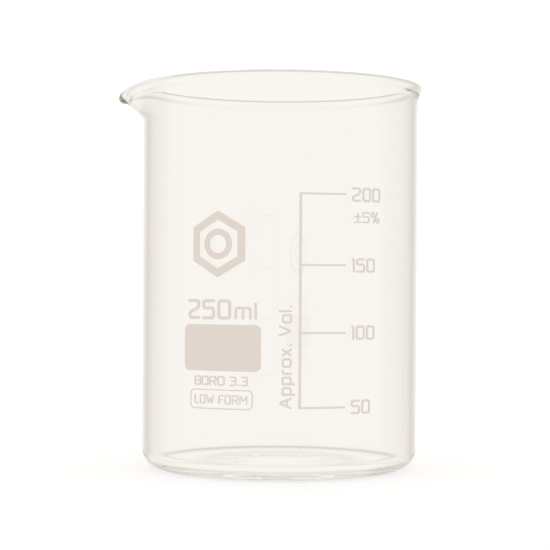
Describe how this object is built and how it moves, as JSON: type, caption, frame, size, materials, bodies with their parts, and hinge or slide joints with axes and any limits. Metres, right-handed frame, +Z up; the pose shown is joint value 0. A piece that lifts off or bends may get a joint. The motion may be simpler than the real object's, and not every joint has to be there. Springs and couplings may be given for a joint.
{
  "type": "laboratory beaker",
  "caption": "Low-form glass beaker with a beaded rim, a pouring spout and a white enamel graduation scale; holds and roughly measures liquid.",
  "frame": {"origin": "centre of the flat base, on the axis of the straight wall", "axes": "+Z up along the wall's axis, -X towards the pouring spout, -Y towards the printed marks"},
  "size_m": [0.0743, 0.069, 0.0935],
  "materials": {
    "glass": "clear, fire polished",
    "enamel": "white fired-on enamel, satin"
  },
  "bodies": {
    "root": {"glass_vessel": "glass", "graduation_scale": "enamel", "numeral_200": "enamel", "numeral_150": "enamel", "numeral_100": "enamel", "numeral_50": "enamel", "tolerance_mark": "enamel", "approx_volume_caption": "enamel", "capacity_mark": "enamel", "marking_patch": "enamel", "glass_grade_mark": "enamel", "form_label_frame": "enamel", "form_label_text": "enamel", "emblem_hexagon": "enamel"}
  },
  "joints": []
}
